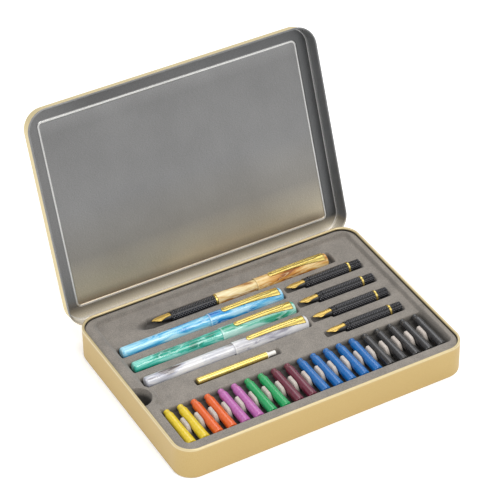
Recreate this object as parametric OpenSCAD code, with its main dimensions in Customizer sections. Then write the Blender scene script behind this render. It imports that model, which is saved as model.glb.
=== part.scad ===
// Hinged flat tin with a lift-out flocked tray that holds cartridge pens, loose nib sections,
// one converter and a row of twenty ink cartridges.
// Frame: origin at the centre of the underside, +X along the width, +Y to the hinge, +Z up.
// The tin stands open, as it is shown for sale.

/* [Tin] */
// Outside width of the base wall
tin_w = 230; // [224:1:260]
// Outside depth of the base wall
tin_d = 162; // [156:1:190]
// Height of the base to the top of its rolled rim
tin_h = 26.5; // [25.5:0.1:34]
// Outside corner radius of the base, seen from above
tin_r = 14.5; // [11:0.5:20]
// Thickness of the tinplate
sheet = 0.4; // [0.3:0.05:0.5]
// Outside radius of the drawn edge round the underside
foot_r = 1.6; // [1:0.1:2.4]
// Outside radius of the rolled rim of the base
rim_r = 1.0; // [0.8:0.05:1.2]

/* [Lid] */
// Outside height of the lid
lid_h = 12; // [8:0.5:14]
// Gap all round between the base wall and the lid skirt
lid_gap = 0.6; // [0.5:0.05:1]
// Gap left between the base rim and the lid panel when shut
seat_gap = 0.15; // [0.1:0.05:0.3]
// Outside radius of the drawn edge round the lid panel
crown_r = 1.6; // [1:0.1:2.4]
// Radius of the rolled hem round the lid mouth
hem_r = 0.7; // [0.5:0.05:0.75]
// How far the lid stands open, from shut, in degrees
open_deg = 110; // [95:1:115]
// Distance from the lid skirt to the middle of the pressed rib
rib_in = 11.4; // [8:0.2:16]
// Width of the pressed rib, seen from inside
rib_wide = 2.3; // [1.6:0.1:3]
// Height of the pressed rib inside the lid
rib_high = 0.35; // [0.2:0.05:0.4]
// Corner radius of the rib's path
rib_turn = 3; // [2:0.25:6]

/* [Hinge] */
// Diameter of the hinge wire
wire_d = 1.5; // [1.2:0.1:2]
// Length of the hinge wire
wire_len = 176; // [150:1:190]
// Radial running clearance of the wire in the lid's curl
wire_fit = 0.05; // [0.03:0.01:0.1]
// Distance of each hinge strap from the middle
strap_x = 58; // [40:1:70]
// Width of each hinge strap
strap_w = 12; // [8:0.5:18]
// Thickness of each hinge strap
strap_t = 0.5; // [0.4:0.05:0.6]
// Length of each strap's plate down the back wall
strap_drop = 8; // [5:0.5:12]
// Gap beside each strap in its window
strap_side = 0.6; // [0.4:0.1:1.2]

/* [Tray] */
// Thickness of the formed tray sheet
skin = 0.8; // [0.6:0.05:1]
// Gap between the rolled rim and the tray
tray_gap = 0.4; // [0.4:0.1:1.5]
// Drop from the rim of the tin to the rim of the tray
rim_drop = 2.2; // [1.5:0.1:3]
// Radius of the field's back left corner, seen from above
field_turn = 8; // [4:0.5:12]
// Drop from the tray rim to the flat field
field_drop = 3.9; // [2.5:0.1:5]
// Gap between the floor of the tin and the tray
foot_gap = 0.3; // [0.3:0.05:0.8]
// Width of the tray rim on the left
rim_left = 7.4; // [5:0.1:9]
// Width of the slope inside the left rim
slope_w = 3.8; // [2:0.1:4]
// Width of the tray rim on the right
rim_right = 4.2; // [3:0.1:6]
// Width of the tray rim at the back
rim_back = 3.6; // [2.5:0.1:6]
// Width of the tray rim in front of the cartridges
rim_front = 9.4; // [7:0.1:11]
// Radius of the finger notch
notch_r = 10; // [8:0.5:11]
// Width of the raised collar round the notch
notch_rim = 2.9; // [2:0.1:4]
// Distance of the notch behind the cartridge trough
notch_in = 16.5; // [15:0.5:20]

/* [Pens] */
// Length of a pen barrel, with the part hidden in its cap
barrel_len = 76.5; // [72:0.5:78]
// Barrel diameter at the open end
barrel_d = 9.8; // [9.4:0.1:10.2]
// Barrel diameter at the blunt end
tail_d = 8.6; // [8:0.1:8.8]
// Length of the barrel that the shut cap covers
cap_over = 6; // [4:0.5:9]
// Length of a cap
cap_len = 60.5; // [57:0.5:61]
// Wall of the cap round the barrel at its lip
cap_wall = 0.5; // [0.4:0.05:0.7]
// Diameter of the deep bore in the cap
cap_bore = 9.4; // [9.3:0.05:9.5]
// Radial clearance of the cap lip on the barrel
cap_fit = 0.05; // [0.02:0.01:0.1]
// How far the barrel of the open pen goes into its cap
posted = 44; // [38:0.5:50]
// Distance between the rows of pens
pen_pitch = 18.2; // [16.5:0.1:18.4]
// Distance from the back edge of the field to the first pen
pen_back = 17; // [12:0.5:17.5]
// Clearance at each end of a pen in its pocket
end_gap = 1.3; // [0.8:0.1:2]
// Radial clearance of a pen in its pocket
pocket_fit = 0.45; // [0.35:0.05:0.6]
// Headroom between a clip and the shut lid
headroom = 0.5; // [0.45:0.05:1]

/* [Clips] */
// Length of a clip
clip_len = 47; // [40:0.5:50]
// Thickness of a clip
clip_t = 0.5; // [0.4:0.05:0.6]
// Height of the clip's arch over the cap
clip_rise = 0.55; // [0.35:0.05:0.8]
// Width of a clip at the cap's end
clip_wide = 8.6; // [7:0.1:9]
// Width of a clip at its tip
clip_tip = 3; // [2:0.1:4]

/* [Nib sections] */
// Length of nib that shows
nib_len = 15; // [12:0.5:16]
// Greatest width of a nib
nib_wide = 5.3; // [4.6:0.1:5.6]
// Thickness of a nib
nib_t = 0.35; // [0.25:0.05:0.4]
// Length of a section from its collar to its ring
grip_len = 36.5; // [32:0.5:38]
// Diameter of a section
grip_d = 8.4; // [8.2:0.1:8.8]
// Length of the stub behind the ring
stub_len = 9; // [7:0.5:10]
// Diameter of the stub
stub_d = 7.2; // [6.8:0.1:7.4]
// Width of the metal ring
ring_w = 1.5; // [1:0.1:2]
// Distance between the rows of loose sections
unit_pitch = 19; // [14:0.1:19.3]
// Distance of the first loose section from the back edge of the field
unit_back = 34; // [30:0.5:34.5]
// Gap along the tray between the capped pens and the tips of the loose nibs
unit_gap = 5.4; // [4:0.1:9]

/* [Converter] */
// Length of the converter
conv_len = 63; // [56:0.5:66]
// Diameter of the converter's sleeve
conv_d = 5.3; // [4.8:0.1:6]
// Distance of the converter behind the cartridge trough
conv_in = 14.5; // [8:0.5:14.5]

/* [Cartridges] */
// Length of a cartridge
cart_len = 38; // [34:0.5:40]
// Diameter at the closed end
cart_end_d = 7.3; // [7:0.1:7.6]
// Diameter behind the shoulder
cart_d = 6.5; // [5.8:0.1:6.8]
// Diameter of the neck
neck_d = 4.8; // [4:0.1:5]
// Distance from the neck's tip to where the body starts to widen
taper_at = 14; // [8:0.5:16]
// Distance between neighbouring cartridges
cart_pitch = 10.65; // [10.2:0.05:10.7]
// Clearance at the closed end of a cartridge in the trough
cart_gap = 0.7; // [0.6:0.1:2]
// Clearance at the neck of a cartridge in the trough
neck_gap = 1.7; // [1:0.1:2.4]
// Gap beside the first cartridge in the trough
first_gap = 0.7; // [0.6:0.1:2]
// Gap beside the last cartridge in the trough
last_gap = 3; // [1:0.1:3.2]
// Clearance under a cartridge
cart_under = 0.3; // [0.3:0.05:0.6]
// Depth of a cartridge's axis below the tray rim
cart_sink = 4.1; // [3.6:0.1:4.4]
// Distance from a neck's tip to the back end of the humps between cartridges
hump_at = 13.3; // [11:0.1:15]
// Length of a hump's flat top
hump_flat = 8.6; // [6:0.1:10]
// Length of the slope at a hump's front
hump_slope = 5; // [3:0.1:6]
// Height of the humps over a cartridge's axis
hump_rise = 3; // [2:0.1:3.2]
// Clearance between a hump and a cartridge
hump_gap = 0.3; // [0.3:0.05:0.6]

/* [Hidden] */
$fn = 48;

// Small overlap for cuts
eps = 0.01;
// Number of cartridges
carts = 20;

// Lid and hinge
lid_w = tin_w + 2 * (lid_gap + sheet);
lid_d = tin_d + 2 * (lid_gap + sheet);
lid_r = tin_r + lid_gap + sheet;
lid_in_z = tin_h + seat_gap;
lid_top = lid_in_z + sheet;
mouth_z = lid_top - lid_h;
wire_r = wire_d / 2;
curl_r = wire_r + wire_fit + sheet;
hinge_y = lid_d / 2 - sheet + curl_r;
hinge_z = mouth_z + curl_r;
window_z = curl_r + wire_r + strap_t + 0.45;
rib_w = lid_w - 2 * rib_in;
rib_d = lid_d - 2 * rib_in;
rib_r = (rib_wide * rib_wide / 4 + rib_high * rib_high) / (2 * rib_high);
rib_z = lid_h - sheet - rib_high + rib_r;

// Tray outline and levels
bead_in = 2 * rim_r;
tray_w = tin_w - 2 * (bead_in + tray_gap);
tray_d = tin_d - 2 * (bead_in + tray_gap);
tray_r = tin_r - bead_in - tray_gap;
tray_top = tin_h - rim_drop;
tray_foot = sheet + foot_gap;
field_z = tray_top - field_drop;
left_x = -tray_w / 2;
right_x = tray_w / 2;
back_y = tray_d / 2 - rim_back;
front_y = -tray_d / 2;
field_x0 = left_x + rim_left + slope_w;
field_x1 = right_x - rim_right;

// Cartridge trough
trough_len = (carts - 1) * cart_pitch + cart_end_d + first_gap + last_gap;
trough_y0 = front_y + rim_front;
trough_y1 = trough_y0 + cart_gap + cart_len + neck_gap;
row_x = 0.6;
trough_x = row_x + (last_gap - first_gap) / 2;
cart_z = tray_top - cart_sink;
cart_r = cart_d / 2;
cart_end_r = cart_end_d / 2;
trough_z = cart_z - cart_end_r - cart_under;
neck_r = neck_d / 2;
neck_len = 2.4;
shoulder_at = 5.4;
end_turn = 1.1;
taper = (cart_end_r - cart_r) / (cart_len - end_turn - taper_at);

// Humps between the cartridges
hump_top = cart_z + hump_rise;
hump_end = hump_at + hump_flat + hump_slope / 2;
hump_half = cart_pitch / 2 - cart_r - taper * max(hump_end - taper_at, 0) - hump_gap;

// Finger notch
notch_y = trough_y1 + notch_in;

// Pens lie along X with their clips on top
barrel_r = barrel_d / 2;
tail_r = tail_d / 2;
cap_r = barrel_r + cap_fit + cap_wall;
clip_top = cap_r + clip_rise + clip_t;
pen_z = lid_in_z - headroom - clip_top;
pen_len = barrel_len - cap_over + cap_len;
pen_x0 = field_x0 + end_gap + 0.9;
function pen_y(n) = back_y - pen_back - (n - 1) * pen_pitch;

// Loose sections, with the origin at the nib's tip
grip_r = grip_d / 2;
stub_r = stub_d / 2;
unit_len = nib_len + grip_len + ring_w + stub_len;
unit_z = field_z;
function unit_y(n) = back_y - unit_back - (n - 1) * unit_pitch;
socket_r = grip_r - 0.85;
collar_r = grip_r - 0.25;
nib_r = socket_r - 0.05;
nib_tip_r = nib_r - 0.9;
feed_r = nib_r - nib_t - 0.05;
nib_tail = 5;
collar_len = 3;
ring_r = grip_r + 0.15;

// Open pen
open_lip = 20.5;
open_x0 = open_lip + posted - barrel_len - ring_w - grip_len - nib_len;

// Converter
conv_r = conv_d / 2;
conv_x0 = field_x0 + 34;
conv_y = trough_y1 + conv_in;
conv_z = field_z - 0.2;
sleeve_t = 0.3;

// Clearances of the formed spaces
barrel_space = barrel_r + pocket_fit;
cap_space = cap_r + pocket_fit;
grip_space = ring_r + pocket_fit;
conv_space = conv_r + pocket_fit;
nib_space = nib_r - 0.1;
barrel_bore = stub_r + 0.05;
cap_x = pen_x0 + barrel_len - cap_over;
unit_x0 = cap_x + cap_len + unit_gap;
open_end_gap = 5;
conv_end_gap = 4;

// Ramp at the free end of the open pen's space
ramp_run = 12;
ramp_x = open_x0 - 2;
ramp_tilt = atan((field_z - pen_z + barrel_space) / ramp_run);
ramp_r = barrel_space - 0.4;
ramp_back = ramp_r * (1 / cos(ramp_tilt) - 1) / tan(ramp_tilt);

// Tab that holds each clip in its cap
tab_in = 6;
tab_w = 2.4;
tab_d = 0.6;
tab_fit = 0.02;
clip_seat = 0.02;
clip_end = 2.6;

trough_r = 2.4;
collar_run = 2.4;
nipple_len = 7;
nipple_r = 1.6;
function cart_x(n) = row_x + (n - (carts + 1) / 2) * cart_pitch;

// Outline of a rounded rectangle about the origin
module plate_2d(w, d, r) {
    square([w - 2 * r, d], center = true);
    square([w, d - 2 * r], center = true);
    for (sx = [-1, 1], sy = [-1, 1])
        translate([sx * (w / 2 - r), sy * (d / 2 - r)]) circle(r);
}

// A section carried round a rounded rectangle: its x is 0 on the outline and grows outwards
module rim_sweep(w, d, r) {
    for (a = [0, 180])
        rotate([0, 0, a]) translate([w / 2, d / 2 - r, 0]) rotate([90, 0, 0])
            linear_extrude(d - 2 * r) children();
    for (a = [90, 270])
        rotate([0, 0, a]) translate([d / 2, w / 2 - r, 0]) rotate([90, 0, 0])
            linear_extrude(w - 2 * r) children();
    translate([w / 2 - r, d / 2 - r, 0])
        rotate_extrude(angle = 90) translate([r, 0]) children();
    translate([r - w / 2, d / 2 - r, 0]) rotate([0, 0, 90])
        rotate_extrude(angle = 90) translate([r, 0]) children();
    translate([r - w / 2, r - d / 2, 0]) rotate([0, 0, 180])
        rotate_extrude(angle = 90) translate([r, 0]) children();
    translate([w / 2 - r, r - d / 2, 0]) rotate([0, 0, 270])
        rotate_extrude(angle = 90) translate([r, 0]) children();
}

// A solid of revolution about +X: the section's x is the radius and its y the station
module spin_x() {
    rotate([0, 90, 0]) rotate_extrude() children();
}

// Base: floor, drawn foot, wall and a rim rolled inwards
module base_profile() {
    translate([-sheet, foot_r]) square([sheet, tin_h - rim_r - foot_r]);
    intersection() {
        translate([-foot_r, foot_r]) difference() {
            circle(foot_r);
            circle(foot_r - sheet);
        }
        translate([-foot_r, 0]) square([foot_r, foot_r]);
    }
    difference() {
        translate([-rim_r, tin_h - rim_r]) circle(rim_r);
        translate([-rim_r, tin_h - rim_r]) circle(rim_r - sheet);
        translate([-rim_r, tin_h - 2 * rim_r]) square([rim_r - sheet, rim_r]);
    }
}

module base_tin() {
    color([0.84, 0.72, 0.49]) {
        rim_sweep(tin_w, tin_d, tin_r) base_profile();
        linear_extrude(sheet) plate_2d(tin_w - 2 * foot_r, tin_d - 2 * foot_r, tin_r - foot_r);
    }
}

// Lid, drawn shut in the frame and then opened about the wire
module lid_profile() {
    translate([-sheet, hem_r]) square([sheet, lid_h - crown_r - hem_r]);
    intersection() {
        translate([-crown_r, lid_h - crown_r]) difference() {
            circle(crown_r);
            circle(crown_r - sheet);
        }
        translate([-crown_r, lid_h - crown_r]) square([crown_r, crown_r]);
    }
    translate([hem_r - sheet, hem_r]) circle(hem_r);
}

module lid_shut() {
    difference() {
        union() {
            difference() {
                rim_sweep(lid_w, lid_d, lid_r) lid_profile();
                translate([-wire_len / 2, lid_d / 2 - sheet - eps, -eps])
                    cube([wire_len, 2 * curl_r, curl_r + eps]);
                translate([-wire_len / 2, lid_d / 2, 0])
                    cube([wire_len, 2 * curl_r, 2 * hem_r + eps]);
            }
            translate([-wire_len / 2, lid_d / 2 - sheet + curl_r, curl_r]) rotate([0, 90, 0])
                difference() {
                    cylinder(r = curl_r, h = wire_len);
                    translate([0, 0, -eps]) cylinder(r = wire_r + wire_fit, h = wire_len + 2 * eps);
                }
            translate([0, 0, lid_h - sheet]) linear_extrude(sheet)
                plate_2d(lid_w - 2 * crown_r, lid_d - 2 * crown_r, lid_r - crown_r);
            intersection() {
                translate([0, 0, rib_z]) rim_sweep(rib_w, rib_d, rib_turn) circle(rib_r);
                translate([-lid_w / 2, -lid_d / 2, 0]) cube([lid_w, lid_d, lid_h]);
            }
        }
        translate([0, 0, rib_z]) rim_sweep(rib_w, rib_d, rib_turn) circle(rib_r - sheet);
        for (s = [-1, 1])
            translate([s * strap_x - strap_w / 2 - strap_side, lid_d / 2 - sheet - 0.5, -1])
                cube([strap_w + 2 * strap_side, 2 * curl_r + 1, window_z + 1]);
    }
}

module lid_tin() {
    color([0.78, 0.76, 0.72])
        translate([0, hinge_y, hinge_z]) rotate([-open_deg, 0, 0])
            translate([0, -hinge_y, mouth_z - hinge_z]) lid_shut();
}

// Two straps on the back wall, each curled round the wire, with a tail that stops the lid
module strap_profile() {
    difference() {
        union() {
            translate([hinge_y, hinge_z]) circle(wire_r + strap_t);
            translate([tin_d / 2, hinge_z - wire_r - strap_t])
                square([hinge_y - tin_d / 2, strap_t]);
            translate([tin_d / 2, hinge_z - strap_drop]) square([strap_t, strap_drop + 0.3]);
            translate([hinge_y, hinge_z - wire_r - strap_t]) square([curl_r + 0.75, strap_t + 0.35]);
        }
        translate([hinge_y, hinge_z]) circle(wire_r);
    }
}

module hinge_straps() {
    color([0.80, 0.68, 0.45])
        for (s = [-1, 1])
            translate([s * strap_x - strap_w / 2, 0, 0]) rotate([90, 0, 90])
                linear_extrude(strap_w) strap_profile();
}

module hinge_wire() {
    color([0.7, 0.7, 0.7])
        translate([-wire_len / 2, hinge_y, hinge_z]) rotate([0, 90, 0])
            cylinder(r = wire_r, h = wire_len);
}

// Spaces that hold the pens, the loose sections and the converter. Each is a round-floored
// cut when grow is 0, or else the formed pan round it.
module space(len, r, grow) {
    translate([-grow, 0, 0]) rotate([0, 90, 0]) cylinder(r = r + grow, h = len + 2 * grow);
    if (grow == 0) translate([0, -r, 0]) cube([len, 2 * r, field_drop + 4]);
}

module ramp(grow) {
    intersection() {
        translate([ramp_x + ramp_back, pen_y(1), pen_z]) rotate([0, ramp_tilt - 90, 0])
            translate([0, 0, -5]) cylinder(r = ramp_r + grow, h = 5 + 2 * ramp_run);
        translate([ramp_x - 2 * ramp_run, pen_y(1) - 2 * barrel_space, 0])
            cube([2 * ramp_run + 0.3, 4 * barrel_space, 2 * pen_z]);
    }
}

module spaces(grow) {
    for (n = [2:4]) {
        translate([pen_x0 - end_gap, pen_y(n), pen_z])
            space(barrel_len - cap_over + end_gap, barrel_space, grow);
        translate([cap_x - end_gap, pen_y(n), pen_z])
            space(cap_len + 2 * end_gap, cap_space, grow);
    }
    ramp(grow);
    translate([ramp_x, pen_y(1), pen_z]) space(open_lip - ramp_x, barrel_space, grow);
    translate([open_lip - end_gap, pen_y(1), pen_z])
        space(cap_len + end_gap + open_end_gap, cap_space, grow);
    for (n = [1:4]) {
        translate([unit_x0 + nib_len - 0.6, unit_y(n), unit_z])
            space(unit_len - nib_len + 0.6 + end_gap, grip_space, grow);
        translate([unit_x0 - 0.5, unit_y(n), unit_z]) space(nib_len, nib_space, grow);
    }
    translate([conv_x0 - end_gap, conv_y, conv_z])
        space(conv_len + end_gap + conv_end_gap, conv_space, grow);
}

module tray_outline(inset) {
    difference() {
        plate_2d(tray_w - 2 * inset, tray_d - 2 * inset, tray_r - inset);
        translate([left_x, notch_y]) circle(notch_r + inset);
    }
}

module trough_2d(grow) {
    translate([trough_x, (trough_y0 + trough_y1) / 2])
        plate_2d(trough_len + 2 * grow, trough_y1 - trough_y0 + 2 * grow, trough_r + grow);
}

// Outline of the sunken field and its slope, which runs into the trough at its front
module field_2d(grow) {
    x0 = field_x0 - slope_w - grow;
    x1 = field_x1 + grow;
    y1 = back_y + grow;
    r0 = field_turn + grow;
    r1 = trough_r + grow;
    translate([x0, trough_y1 - trough_r]) square([x1 - x0 - r1, y1 - r0 - trough_y1 + trough_r]);
    translate([x1 - 2 * r1, trough_y1 - trough_r]) square([2 * r1, y1 - r1 - trough_y1 + trough_r]);
    translate([x0 + r0, y1 - 2 * r0]) square([x1 - x0 - r0 - r1, 2 * r0]);
    translate([x0 + r0, y1 - r0]) circle(r0);
    translate([x1 - r1, y1 - r1]) circle(r1);
}

// Side view of the field from its front: flat, with a slope inside the left rim
module field_side(over, under) {
    polygon([[field_x0 - slope_w - over, tray_top + over], [field_x0 - slope_w, tray_top - under],
        [field_x0, field_z - under], [field_x1 + 2, field_z - under], [field_x1 + 2, tray_top + over]]);
}

// Raised collar round the finger notch, with a sloping side
module collar(inset) {
    h = field_drop + skin;
    translate([left_x, notch_y, field_z - skin])
        cylinder(r1 = notch_r + notch_rim + collar_run - inset,
            r2 = notch_r + notch_rim - collar_run / h - inset, h = h + 1);
}

module field_space() {
    difference() {
        intersection() {
            linear_extrude(2 * tray_top) field_2d(0);
            translate([0, tray_d / 2, 0]) rotate([90, 0, 0]) linear_extrude(tray_d)
                field_side(1, 0);
        }
        collar(0);
    }
}

// A hump between two cartridges, with the middle of its back end over the origin: flat on top
// and sloping down to the trough's floor at its front
module hump() {
    translate([hump_half, 0, 0]) rotate([0, -90, 0]) linear_extrude(2 * hump_half)
        polygon([[trough_z - 1, 0], [hump_top, 0], [hump_top, -hump_flat],
            [hump_top - 0.8, -hump_flat - 1.2], [trough_z, -hump_flat - hump_slope],
            [trough_z - 1, -hump_flat - hump_slope]]);
}

module humps() {
    for (k = [0:carts - 2])
        translate([cart_x(k + 1.5), trough_y1 - neck_gap - hump_at, 0]) hump();
}

// Formed tray: skirt, rim, sunken field, trough with humps, pans and a notch to lift it by
module flocked_tray() {
    color([0.55, 0.53, 0.51]) difference() {
        union() {
            translate([0, 0, tray_foot]) linear_extrude(tray_top - tray_foot) difference() {
                tray_outline(0);
                tray_outline(skin);
            }
            translate([0, 0, tray_top - skin]) linear_extrude(skin) tray_outline(0);
            intersection() {
                union() {
                    translate([0, 0, trough_z - skin])
                        linear_extrude(tray_top - trough_z + skin) trough_2d(skin);
                    intersection() {
                        linear_extrude(tray_top) field_2d(skin);
                        translate([0, tray_d / 2, 0]) rotate([90, 0, 0]) linear_extrude(tray_d)
                            field_side(1, skin);
                    }
                    difference() {
                        collar(0);
                        collar(skin);
                    }
                    intersection() {
                        spaces(skin);
                        translate([left_x, front_y, 0]) cube([tray_w, tray_d, field_z]);
                    }
                }
                translate([0, 0, tray_foot]) linear_extrude(tray_top - tray_foot) tray_outline(0);
            }
        }
        field_space();
        difference() {
            translate([0, 0, trough_z]) linear_extrude(field_drop + 10) trough_2d(0);
            humps();
        }
        spaces(0);
    }
}

// A barrel: its blunt end is at the origin and its open end looks along +X
module barrel() {
    f = 1.8;
    spin_x() difference() {
        union() {
            polygon([[0, 0], [tail_r - f, 0], [tail_r - f, f], [tail_r, f], [barrel_r, barrel_len],
                [0, barrel_len]]);
            translate([tail_r - f, f]) intersection() {
                circle(f);
                translate([0, -f]) square([f, f]);
            }
        }
        translate([0, 3]) square([barrel_bore, barrel_len]);
    }
}

// A cap: its lip is at the origin and its closed end is at +X
module cap() {
    f = 1.3;
    difference() {
        spin_x() difference() {
            union() {
                translate([0, 0.25]) square([cap_r, cap_len - f - 0.25]);
                square([cap_r - 0.25, cap_len - f]);
                square([cap_r - f, cap_len]);
                translate([cap_r - f, cap_len - f]) circle(f);
                translate([cap_r - 0.25, 0.25]) circle(0.25);
            }
            square([cap_bore / 2, cap_len - 3.5]);
            square([barrel_r + cap_fit, cap_over + 0.2]);
        }
        translate([cap_len - tab_in - tab_fit, -tab_w / 2 - tab_fit, cap_r - tab_d - tab_fit])
            cube([tab_w + 2 * tab_fit, tab_w + 2 * tab_fit, 3]);
    }
}

// A clip in its cap's frame: two round strips that lean together into a low arch over the cap
// and widen to the foot
module clip_half(lean) {
    rotate([0, lean, 0]) translate([-clip_len, 0, 0]) rotate([0, 90, 0]) difference() {
        cylinder(r = cap_r + clip_seat + clip_t, h = 2 * clip_len);
        translate([0, 0, -1]) cylinder(r = cap_r + clip_seat, h = 2 * clip_len + 2);
    }
}

module clip() {
    x0 = cap_len - clip_end - clip_len;
    xm = x0 + clip_len / 2;
    lean = atan(2 * clip_rise / clip_len);
    run = clip_len * 0.85;
    rc = run * run / (clip_wide - clip_tip);
    intersection() {
        union() {
            intersection() {
                translate([xm, 0, clip_rise]) clip_half(-lean);
                translate([x0, -cap_r, 0]) cube([clip_len / 2, 2 * cap_r, 3 * cap_r]);
            }
            intersection() {
                translate([xm, 0, clip_rise]) clip_half(lean);
                translate([xm, -cap_r, 0]) cube([clip_len / 2, 2 * cap_r, 3 * cap_r]);
            }
        }
        translate([x0, 0, 0]) linear_extrude(3 * cap_r) union() {
            difference() {
                translate([clip_tip / 2, -clip_wide / 2 - 0.5]) square([clip_len, clip_wide + 1]);
                translate([clip_len - run, clip_tip / 2 + rc]) circle(rc, $fn = 400);
                translate([clip_len - run, -clip_tip / 2 - rc]) circle(rc, $fn = 400);
            }
            translate([clip_tip / 2, 0]) circle(clip_tip / 2);
        }
    }
    translate([cap_len - tab_in, -tab_w / 2, cap_r - tab_d]) cube([tab_w, tab_w, tab_d + 0.3]);
}

// The pieces of a nib section share one frame: the nib's tip is at the origin
module grip() {
    x1 = nib_len + grip_len;
    difference() {
        spin_x() difference() {
            union() {
                translate([0, nib_len]) square([collar_r, collar_len]);
                translate([0, nib_len + collar_len]) square([collar_r - 0.4, 0.8]);
                translate([0, nib_len + collar_len + 0.6])
                    square([grip_r - 0.25, grip_len - collar_len - 0.6]);
                translate([0, nib_len + collar_len + 0.85])
                    square([grip_r, grip_len - collar_len - 1.1]);
                translate([0, x1]) square([stub_r, ring_w + stub_len]);
            }
            translate([0, nib_len]) square([socket_r, nib_tail + 0.2]);
            square([2.1, unit_len + 1]);
            for (k = [0:4])
                translate([stub_r - 0.3, x1 + ring_w + 1.6 + k * 1.4]) square([1, 0.6]);
        }
        for (a = [0:45:315])
            rotate([a, 0, 0]) translate([nib_len - eps, -0.45, collar_r - 0.4]) cube([1.8, 0.9, 2]);
    }
}

module ring() {
    translate([nib_len + grip_len, 0, 0]) spin_x() difference() {
        union() {
            square([ring_r - 0.25, ring_w]);
            translate([0, 0.25]) square([ring_r, ring_w - 0.5]);
        }
        square([stub_r + 0.02, ring_w]);
    }
}

module nib() {
    w = nib_wide / 2;
    difference() {
        intersection() {
            spin_x() polygon([[nib_tip_r - nib_t, 0], [nib_tip_r, 0], [nib_r, nib_len],
                [nib_r, nib_len + nib_tail], [nib_r - nib_t, nib_len + nib_tail],
                [nib_r - nib_t, nib_len]]);
            translate([0, 0, 0.3]) linear_extrude(2 * nib_r)
                polygon([[0, -0.8], [nib_len * 0.42, -w], [nib_len * 0.75, -w * 0.88],
                    [nib_len * 0.95, -w * 0.96], [nib_len + nib_tail, -w * 0.96],
                    [nib_len + nib_tail, w * 0.96], [nib_len * 0.95, w * 0.96],
                    [nib_len * 0.75, w * 0.88], [nib_len * 0.42, w], [0, 0.8]]);
        }
        translate([-1, -0.06, 0]) cube([nib_len * 0.5 + 1, 0.12, 2 * nib_r]);
        translate([nib_len * 0.5, 0, 0]) cylinder(r = 0.45, h = 2 * nib_r);
    }
}

module feed() {
    difference() {
        spin_x() polygon([[0, nib_len * 0.3], [nib_tip_r - nib_t - 0.9, nib_len * 0.3],
            [feed_r, nib_len], [feed_r, nib_len + nib_tail], [0, nib_len + nib_tail]]);
        for (k = [0:4])
            translate([nib_len - 1.4 - k * 1.3, -feed_r - 1, -feed_r - 1])
                cube([0.6, 2 * feed_r + 2, feed_r + 0.4]);
    }
}

module sleeve() {
    f = 1.2;
    spin_x() difference() {
        union() {
            translate([0, f]) square([conv_r, conv_len - nipple_len - f]);
            square([conv_r - f, conv_len - nipple_len]);
            translate([conv_r - f, f]) circle(f);
        }
        translate([0, 0.8]) square([conv_r - sleeve_t, conv_len]);
    }
}

module reservoir() {
    r = conv_r - sleeve_t - 0.04;
    spin_x() difference() {
        union() {
            translate([0, 1]) square([r, conv_len - nipple_len]);
            translate([0, conv_len - nipple_len + 1]) square([nipple_r, nipple_len - 1]);
        }
        translate([0, 2]) square([nipple_r - 0.6, conv_len]);
    }
}

// A cartridge with its neck's tip at the origin, lying along -Y: a neck, a shoulder and a body
// that widens gently to the closed end
module cartridge(n, c) {
    tip = 0.9;
    color(c) translate([cart_x(n), trough_y1 - neck_gap, cart_z]) rotate([90, 0, 0])
        rotate_extrude() union() {
            square([neck_r - tip, neck_len]);
            translate([0, tip]) square([neck_r, neck_len - tip]);
            translate([neck_r - tip, tip]) intersection() {
                circle(tip);
                translate([0, -tip]) square([tip, tip]);
            }
            polygon([[0, neck_len], [neck_r, neck_len], [cart_r, shoulder_at], [cart_r, taper_at],
                [cart_end_r, cart_len - end_turn], [0, cart_len - end_turn]]);
            translate([0, cart_len - end_turn]) square([cart_end_r - end_turn, end_turn]);
            translate([cart_end_r - end_turn, cart_len - end_turn]) intersection() {
                circle(end_turn);
                square([end_turn, end_turn]);
            }
        }
}

module pen_at(n) {
    translate([pen_x0, pen_y(n), pen_z]) children();
}

module cap_at(n) {
    translate([n == 1 ? open_lip : cap_x, pen_y(n), pen_z]) children();
}

module unit_at(n) {
    translate([unit_x0, unit_y(n), unit_z]) children();
}

module open_at() {
    translate([open_x0, pen_y(1), pen_z]) children();
}

gold = [0.85, 0.66, 0.3];
black = [0.1, 0.1, 0.11];
amber = [0.84, 0.66, 0.4];
blue = [0.35, 0.66, 0.85];
green = [0.3, 0.75, 0.62];
grey = [0.78, 0.78, 0.8];

module pen_1_barrel() {
    color(amber) translate([open_lip + posted, pen_y(1), pen_z]) rotate([0, 0, 180]) barrel();
}

module pen_1_cap() { color(amber) cap_at(1) cap(); }
module pen_1_clip() { color(gold) cap_at(1) clip(); }
module pen_1_grip() { color(black) open_at() grip(); }
module pen_1_ring() { color(gold) open_at() ring(); }
module pen_1_nib() { color(gold) open_at() nib(); }
module pen_1_feed() { color(black) open_at() feed(); }
module pen_2_barrel() { color(blue) pen_at(2) barrel(); }
module pen_2_cap() { color(blue) cap_at(2) cap(); }
module pen_2_clip() { color(gold) cap_at(2) clip(); }
module pen_3_barrel() { color(green) pen_at(3) barrel(); }
module pen_3_cap() { color(green) cap_at(3) cap(); }
module pen_3_clip() { color(gold) cap_at(3) clip(); }
module pen_4_barrel() { color(grey) pen_at(4) barrel(); }
module pen_4_cap() { color(grey) cap_at(4) cap(); }
module pen_4_clip() { color(gold) cap_at(4) clip(); }
module section_1_grip() { color(black) unit_at(1) grip(); }
module section_1_ring() { color(gold) unit_at(1) ring(); }
module section_1_nib() { color(gold) unit_at(1) nib(); }
module section_1_feed() { color(black) unit_at(1) feed(); }
module section_2_grip() { color(black) unit_at(2) grip(); }
module section_2_ring() { color(gold) unit_at(2) ring(); }
module section_2_nib() { color(gold) unit_at(2) nib(); }
module section_2_feed() { color(black) unit_at(2) feed(); }
module section_3_grip() { color(black) unit_at(3) grip(); }
module section_3_ring() { color(gold) unit_at(3) ring(); }
module section_3_nib() { color(gold) unit_at(3) nib(); }
module section_3_feed() { color(black) unit_at(3) feed(); }
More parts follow.
